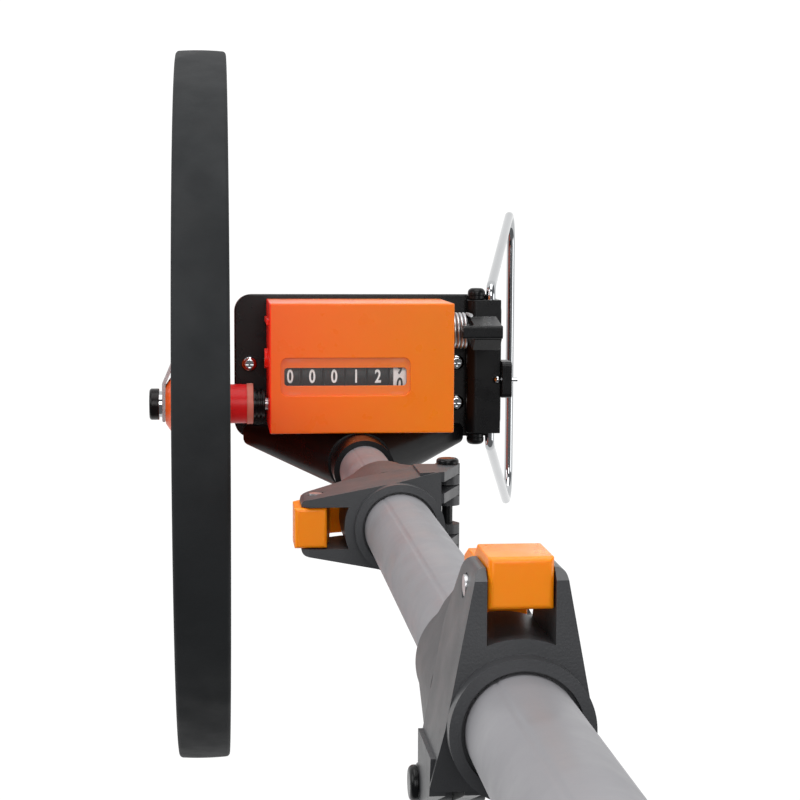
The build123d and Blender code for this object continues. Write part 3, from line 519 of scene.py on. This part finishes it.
def refine(name: str, node: bpy.types.Object, edge: float, segments: int = 2,
           limit: float = 38.0) -> bpy.types.Object:
    """Copy a node's shape and round off its hard edges, inside its own box.

    Args:
        name: The new piece's name.
        node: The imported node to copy.
        edge: The width of the rounding, in metres.
        segments: Steps across each rounding.
        limit: Only edges that turn more than this many degrees are rounded.

    Returns:
        The new piece.
    """
    mesh = bmesh.new()
    mesh.from_mesh(node.data)
    bmesh.ops.remove_doubles(mesh, verts=mesh.verts, dist=MERGE)
    bmesh.ops.dissolve_degenerate(mesh, edges=mesh.edges, dist=SLIVER)
    bmesh.ops.dissolve_limit(mesh, angle_limit=math.radians(FLAT), verts=mesh.verts,
                             edges=mesh.edges)
    data = bpy.data.meshes.new(name)
    mesh.to_mesh(data)
    mesh.free()
    rough = link_mesh(name, data, CREASE)
    bevel = rough.modifiers.new("edges", "BEVEL")
    bevel.width = edge
    bevel.segments = segments
    bevel.limit_method = "ANGLE"
    bevel.angle_limit = math.radians(limit)
    bevel.use_clamp_overlap = True
    even = rough.modifiers.new("flat_faces", "WEIGHTED_NORMAL")
    even.keep_sharp = True
    even.weight = 80
    shown = rough.evaluated_get(bpy.context.evaluated_depsgraph_get())
    finished = bpy.data.meshes.new_from_object(shown)
    bpy.data.objects.remove(rough)
    bpy.data.meshes.remove(data)
    piece = bpy.data.objects.new(name, finished)
    bpy.context.scene.collection.objects.link(piece)
    return piece


@dataclass
class Workshop:
    """What every sub-assembly needs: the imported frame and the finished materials."""

    frame: dict
    finishes: dict[str, bpy.types.Material]
    made: list[str] = field(default_factory=list)

    def node(self, name: str) -> bpy.types.Object:
        """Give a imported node's object.

        Args:
            name: The node.

        Returns:
            Its object.
        """
        return self.frame["nodes"][name]

    def dress(self, piece: bpy.types.Object, slot: str) -> None:
        """Give a piece one finish all over.

        Args:
            piece: The object to dress.
            slot: The finish's slot name.
        """
        piece.data.materials.clear()
        piece.data.materials.append(self.finishes[slot])

    def keep(self, slot: str, *names: str) -> None:
        """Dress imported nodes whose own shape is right.

        Args:
            slot: The finish's slot name.
            *names: The nodes.
        """
        for name in names:
            self.dress(self.node(name), slot)

    def place(self, piece: bpy.types.Object, body: str, slot: str,
              *replaced: str) -> bpy.types.Object:
        """Finish a new piece: its look, the body it rides and the nodes it stands for.

        Args:
            piece: The new piece.
            body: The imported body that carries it.
            slot: The record's slot for its finish.
            *replaced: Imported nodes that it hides.

        Returns:
            The same piece.
        """
        self.dress(piece, slot)
        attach(piece, body)
        if replaced:
            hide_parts(*replaced)
        self.made.append(piece.name)
        log.info("made %s on %s", piece.name, body)
        return piece

    def soften(self, name: str, body: str, slot: str, edge: float, segments: int = 2,
               finish: str = "") -> None:
        """Replace a node by its own shape with rounded edges.

        Args:
            name: The node.
            body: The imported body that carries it.
            slot: The record's slot for its finish.
            edge: The rounding's width, in metres.
            segments: Steps across each rounding.
            finish: A finish other than the slot's own, where there is one.
        """
        piece = refine(f"{name}_moulding", self.node(name), edge, segments)
        self.place(piece, body, slot, name)
        self.dress(piece, finish or slot)


# ---- sub-assemblies -------------------------------------------------------------------------
@dataclass
class RoadWheel:
    """The rubber-tyred wheel, its hub hardware and the index pointer."""

    shop: Workshop
    segments: int = 256
    crown: float = 0.35 * MM
    shoulder: float = 1.7 * MM
    sleeve_length: float = 9.8 * MM
    fade_length: float = 3.0 * MM
    # Painted shade and red glow along the sleeve, standing in for light through its plastic.
    sleeve_red: RGB = (0.66, 0.012, 0.016)

    def moulding(self) -> MouldedPlastic:
        """Make the wheel's orange, with painted shade and a red glow along the sleeve on its right
        side.

        Returns:
            The finish.
        """
        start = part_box("wheel_rim")[1].x - self.sleeve_length
        return MouldedPlastic("wheel_orange", (0.80, 0.10, 0.012), 0.36, mottle=0.05, shine=0.3,
                              fades=((self.sleeve_red, start, start + self.fade_length),))

    def tyre_profile(self, radius: float, half: float, bore: float) -> list[tuple[float, float]]:
        """Work out the tread's crowned outline.

        Args:
            radius: The tyre's outer radius.
            half: Half its width.
            bore: Its inner radius.

        Returns:
            Points as (along the axle, radius).
        """
        steps = 10
        flat = half - self.shoulder
        points = [(-half, bore), (-half, radius - self.crown - self.shoulder)]
        for step in range(1, 5):
            angle = math.radians(90 * step / 5)
            points.append((-half + self.shoulder * (1 - math.cos(angle)),
                           radius - self.crown - self.shoulder * (1 - math.sin(angle))))
        for step in range(steps + 1):
            along = -flat + 2 * flat * step / steps
            points.append((along, radius - self.crown * (along / flat) ** 2))
        mirrored = [(-along, r) for along, r in reversed(points[:6])]
        return points + mirrored

    def build(self) -> None:
        """Make the tyre and dress the rest of the wheel."""
        low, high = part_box("tyre")
        centre = (low + high) / 2
        rim_low, rim_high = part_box("wheel_rim")
        bore = (rim_high.z - rim_low.z) / 2
        profile = self.tyre_profile((high.z - low.z) / 2, (high.x - low.x) / 2, bore)
        tyre = lathe("tread_tyre", profile, centre, Turning.ALONG_X, self.segments)
        self.shop.place(tyre, "wheel", "rubber_black", "tyre")
        self.shop.finishes["wheel_orange"] = self.moulding().build()
        self.shop.soften("wheel_rim", "wheel", "wheel_orange", 0.8 * MM)
        self.shop.soften("index_pointer", "wheel", "steel", 0.25 * MM)
        self.shop.soften("end_knob", "wheel", "black_gloss", 0.3 * MM)
        self.shop.soften("drive_flange", "wheel", "pink_nylon", 0.3 * MM)
        self.shop.soften("shaft_seal", "wheel", "black_gloss", 0.2 * MM)
        self.shop.keep("chrome", "knob_washer")
        self.shop.keep("steel", "axle", "axle_clip")
        self.shop.keep("gear_nylon", "axle_gear")


@dataclass
class DigitDrum:
    """One counting drum's ten printed digits, wrapped round its rim."""

    shop: Workshop
    node: str
    body: str
    ink: str
    shown: float
    digit_height: float = 5.8 * MM
    digit_narrowing: float = 0.68
    ink_thickness: float = 0.05 * MM
    slice_height: float = 0.45 * MM

    def flat_digit(self, digit: int) -> bmesh.types.BMesh:
        """Make one flat digit, cut into slices that can be bent.

        Args:
            digit: The figure, 0 to 9.

        Returns:
            The working mesh, x along the drum and y up the figure, centred.
        """
        text = bpy.data.curves.new("digit", "FONT")
        text.body = str(digit)
        text.size = self.digit_height / 0.70
        text.extrude = self.ink_thickness / 2
        text.offset = 0.2 * MM
        text.resolution_u = 6
        holder = bpy.data.objects.new("digit", text)
        bpy.context.scene.collection.objects.link(holder)
        shown = holder.evaluated_get(bpy.context.evaluated_depsgraph_get())
        data = bpy.data.meshes.new_from_object(shown)
        mesh = bmesh.new()
        mesh.from_mesh(data)
        bpy.data.objects.remove(holder)
        bpy.data.curves.remove(text)
        bpy.data.meshes.remove(data)
        bmesh.ops.remove_doubles(mesh, verts=mesh.verts, dist=1e-7)
        low = Vector(min(v.co[i] for v in mesh.verts) for i in range(3))
        high = Vector(max(v.co[i] for v in mesh.verts) for i in range(3))
        bmesh.ops.translate(mesh, verts=mesh.verts, vec=-(low + high) / 2)
        bmesh.ops.scale(mesh, verts=mesh.verts, vec=(self.digit_narrowing, 1, 1))
        cut = -self.digit_height / 2 + self.slice_height
        while cut < self.digit_height / 2:
            whole = list(mesh.verts) + list(mesh.edges) + list(mesh.faces)
            bmesh.ops.bisect_plane(mesh, geom=whole, plane_co=(0, cut, 0), plane_no=(0, 1, 0))
            cut += self.slice_height
        return mesh

    def build(self) -> None:
        """Print the ten digits round the drum and dress them."""
        low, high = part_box(self.node)
        centre = (low + high) / 2
        radius = (high.z - low.z) / 2
        whole = bmesh.new()
        for digit in range(10):
            flat = self.flat_digit(digit)
            lead = math.radians(36.0 * (digit - self.shown))
            for vert in flat.verts:
                angle = lead - vert.co.y / radius
                reach = radius + self.ink_thickness / 2 + vert.co.z
                vert.co = centre + Vector((vert.co.x, -reach * math.sin(angle),
                                           reach * math.cos(angle)))
            data = bpy.data.meshes.new("digit")
            flat.to_mesh(data)
            flat.free()
            whole.from_mesh(data)
            bpy.data.meshes.remove(data)
        ring = to_object(f"{self.node}_digits", whole, 45.0)
        self.shop.place(ring, self.body, self.ink)


@dataclass
class Counter:
    """The orange counter case, its window and its six counting drums."""

    shop: Workshop
    reading: tuple[float, ...] = (0, 0, 0, 1, 2)
    decimetres: float = 9.5
    band_half: float = 2.85 * MM
    band_edge: float = 0.1 * MM
    case_width: float = 82.4 * MM
    plain_right: float = 12.0 * MM
    side_wall: tuple[float, float] = (0.8 * MM, 0.3 * MM)
    # Painted red bounce light from the wheel, laid over the front's left part.
    left_orange: RGB = (0.82, 0.12, 0.012)
    # Painted red glow on the case's left side wall, where light bounces from the wheel.
    side_red: RGB = (0.90, 0.03, 0.012)

    def moulding(self) -> MouldedPlastic:
        """Make the case's orange, with a painted red glow of light bounced from the wheel: redder
        to the left and most of all on that side.

        Returns:
            The finish.
        """
        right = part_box("counter_case")[1].x
        left = right - self.case_width
        # The front grows redder to the left with painted bounce light; the left side wall gets the
        # strongest painted glow.
        across = (self.left_orange, right - self.plain_right, left)
        side = (self.side_red, left + self.side_wall[0], left + self.side_wall[1])
        return MouldedPlastic("case_orange", (0.84, 0.19, 0.003), 0.30, mottle=0.01, shine=0.25,
                              glow=0.25, fades=(across, side))

    def band(self, node: str) -> MouldedPlastic:
        """Make the black finish with the white band that carries the last drum's figures.

        Args:
            node: The drum.

        Returns:
            The finish.
        """
        low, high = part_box(node)
        middle, outer = (low.x + high.x) / 2, self.band_half + self.band_edge
        sides = tuple((INK_BLACK, middle + side * self.band_half, middle + side * outer)
                      for side in (-1, 1))
        return MouldedPlastic("drum_band", INK_WHITE, 0.4, mottle=0.02, fades=sides)

    def build(self) -> None:
        """Dress the case and print the drums."""
        self.shop.finishes["case_orange"] = self.moulding().build()
        self.shop.soften("counter_case", "frame", "case_orange", 0.45 * MM)
        self.shop.soften("window_lens", "frame", "clear", 0.25 * MM)
        self.shop.keep("dark_grey", "counter_chassis")
        self.shop.keep("bronze", "axle_bushes")
        self.shop.keep("steel", "idler_pin", "drum_shaft")
        self.shop.keep("gear_nylon", "idler_gear", "drum_gear")
        for place, figure in enumerate(self.reading):
            number = len(self.reading) - place
            self.shop.keep("drum_black", f"drum_{number}")
            DigitDrum(self.shop, f"drum_{number}", f"digit_{number}", "drum_white", figure).build()
        self.shop.finishes["drum_band"] = self.band("drum_decimetres").build()
        self.shop.keep("drum_band", "drum_decimetres")
        DigitDrum(self.shop, "drum_decimetres", "decimetres", "drum_black", self.decimetres).build()


@dataclass
class Bracket:
    """The black base plate, tube socket, stand barrel, reset lever and their hardware."""

    shop: Workshop

    def build(self) -> None:
        """Dress the bracket and everything bolted to it."""
        for name, body, edge in (("base_plate", "frame", 0.4), ("tube_socket", "frame", 0.9),
                                 ("stand_lugs", "frame", 0.3), ("stand_flap", "side_stand", 0.4),
                                 ("stop_tab", "side_stand", 0.4)):
            self.shop.soften(name, body, "black_gloss", edge * MM)
        self.shop.keep("black_gloss", "stand_pin")
        self.shop.keep("chrome", "plate_screws", "split_pin", "stand")
        self.shop.soften("reset_lever", "reset", "black_gloss", 0.4 * MM)
        self.shop.keep("steel", "reset_shaft", "reset_spring")


@dataclass
class Handle:
    """The folding handle: two folds with their latches, three tubes, the grip and its end."""

    shop: Workshop
    tube_segments: int = 128
    wall: float = 1.5 * MM
    seam_angle: float = math.radians(118)
    seam_depth: float = 0.28 * MM
    seam_half: float = 0.012

    def tube(self, node: str, body: str) -> None:
        """Make one tube with its lengthwise seam.

        Args:
            node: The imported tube.
            body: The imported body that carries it.
        """
        low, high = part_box(node)
        centre = Vector(((low.x + high.x) / 2, (low.y + high.y) / 2, low.z))
        radius = (high.x - low.x) / 2
        length = high.z - low.z
        bore = radius - self.wall
        profile = [(0, bore), (0, radius), (length, radius), (length, bore)]
        piece = lathe(f"{node}_anodised", profile, centre, Turning.ALONG_Z, self.tube_segments,
                      self.seam_angle)
        for vert in piece.data.vertices:
            out = Vector((vert.co.x - centre.x, vert.co.y - centre.y))
            turn = math.atan2(out.y, out.x) - self.seam_angle
            if out.length > radius - self.wall / 2 and abs(turn) < self.seam_half:
                shrink = (radius - self.seam_depth) / out.length
                vert.co.x = centre.x + out.x * shrink
                vert.co.y = centre.y + out.y * shrink
        self.shop.place(piece, body, "anodised", node)

    def build(self) -> None:
        """Make the tubes and dress the folds, latches, grip and cap."""
        self.tube("lower_tube", "frame")
        self.tube("middle_tube", "middle_handle")
        self.tube("upper_tube", "upper_handle")
        for name, body in (("fold_1_lower", "frame"), ("fold_1_upper", "middle_handle"),
                           ("fold_2_lower", "middle_handle"), ("fold_2_upper", "upper_handle")):
            self.shop.soften(name, body, "dark_grey", 0.6 * MM, 3)
        self.shop.soften("latch_1", "latch_one", "case_orange", 0.8 * MM, 3, "latch_orange")
        self.shop.soften("latch_2", "latch_two", "case_orange", 0.8 * MM, 3, "latch_orange")
        self.shop.keep("black_gloss", "fold_1_pin", "fold_2_pin")
        self.shop.keep("steel", "latch_1_pin", "latch_2_pin")
        self.shop.soften("grip", "upper_handle", "grip_rubber", 0.5 * MM)
        self.shop.soften("end_cap", "upper_handle", "dark_grey", 0.5 * MM)


# ---- studio ---------------------------------------------------------------------------------
@dataclass
class Studio:
    """The pale floor, the soft lights and the camera over the handle."""

    wheel_middle: Vector
    floor_half: float = 6.0
    lens: float = 79.5
    camera_from_axle: Point = (4.9 * MM, 83.6 * MM, 810.9 * MM)
    lean: Point = (-0.1008, -0.1051, -0.0005)

    def floor(self) -> None:
        """Lay the plain pale floor."""
        mesh = bmesh.new()
        bmesh.ops.create_grid(mesh, x_segments=1, y_segments=1, size=self.floor_half)
        ground = to_object("studio_floor", mesh)
        ground.location = (0, 0, -0.0002)
        graph = Graph("pale_floor")
        tone = graph.noise(1.5, 2.0)
        graph.link(graph.tint(tone, (0.02, 0.02, 0.02), (0.03, 0.03, 0.03)),
                   graph.shader.inputs["Base Color"])
        graph.shader.inputs["Roughness"].default_value = 0.9
        graph.shader.inputs["Emission Color"].default_value = (1.0, 1.0, 1.0, 1.0)
        graph.shader.inputs["Emission Strength"].default_value = 1.02
        ground.data.materials.append(graph.material)

    def light(self, name: str, place: Point, aim: Point, size: float, power: float,
              colour: RGB = (1, 1, 1)) -> None:
        """Hang one square soft light.

        Args:
            name: The light's name.
            place: Where it hangs.
            aim: The point it faces.
            size: Its side, in metres.
            power: Its power, in watts.
            colour: Its colour.
        """
        data = bpy.data.lights.new(name, "AREA")
        data.size = size
        data.energy = power
        data.color = colour
        lamp = bpy.data.objects.new(name, data)
        lamp.location = place
        lamp.rotation_euler = (Vector(aim) - Vector(place)).to_track_quat("-Z", "Y").to_euler()
        bpy.context.scene.collection.objects.link(lamp)

    def lights(self) -> None:
        """Hang the lights and set the room's even glow."""
        self.light("window_front", (0.1, 1.7, 0.75), (0, 0, 0.25), 1.5, 24)
        self.light("window_left", (-1.6, 0.9, 1.1), (0, 0, 0.3), 1.2, 17)
        self.light("window_right", (1.7, -0.2, 0.9), (0, 0, 0.3), 1.0, 8)
        self.light("ceiling", (0.0, 0.6, 2.3), (0, 0, 0.2), 1.0, 17)
        world = bpy.data.worlds.new("studio_room")
        bpy.context.scene.world = world
        world.use_nodes = True
        glow = world.node_tree.nodes["Background"]
        glow.inputs["Color"].default_value = (0.95, 0.97, 1.0, 1.0)
        glow.inputs["Strength"].default_value = 0.22

    def camera(self) -> None:
        """Set the camera over the handle, looking down at the counter."""
        data = bpy.data.cameras.new("over_the_handle")
        data.lens = self.lens
        data.sensor_width = 36.0
        data.clip_start = 0.02
        data.clip_end = 50.0
        seen = bpy.data.objects.new("over_the_handle", data)
        turn = Vector(self.lean)
        spin = Matrix.Rotation(turn.length, 4, turn.normalized())
        stand_point = self.wheel_middle + Vector(self.camera_from_axle)
        seen.matrix_world = Matrix.Translation(stand_point) @ spin
        bpy.context.scene.collection.objects.link(seen)
        bpy.context.scene.camera = seen

    def build(self) -> None:
        """Make the floor, the lights and the camera."""
        self.floor()
        self.lights()
        self.camera()
        bpy.context.scene.view_settings.view_transform = "Standard"


def main() -> None:
    """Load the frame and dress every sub-assembly."""
    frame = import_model()
    shop = Workshop(frame, Palette().build())
    for assembly in (RoadWheel(shop), Counter(shop), Bracket(shop), Handle(shop)):
        assembly.build()
    tyre_low, tyre_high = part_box("tyre")
    Studio((tyre_low + tyre_high) / 2).build()
    log.info("%d new pieces", len(shop.made))


if __name__ == "__main__":
    main()
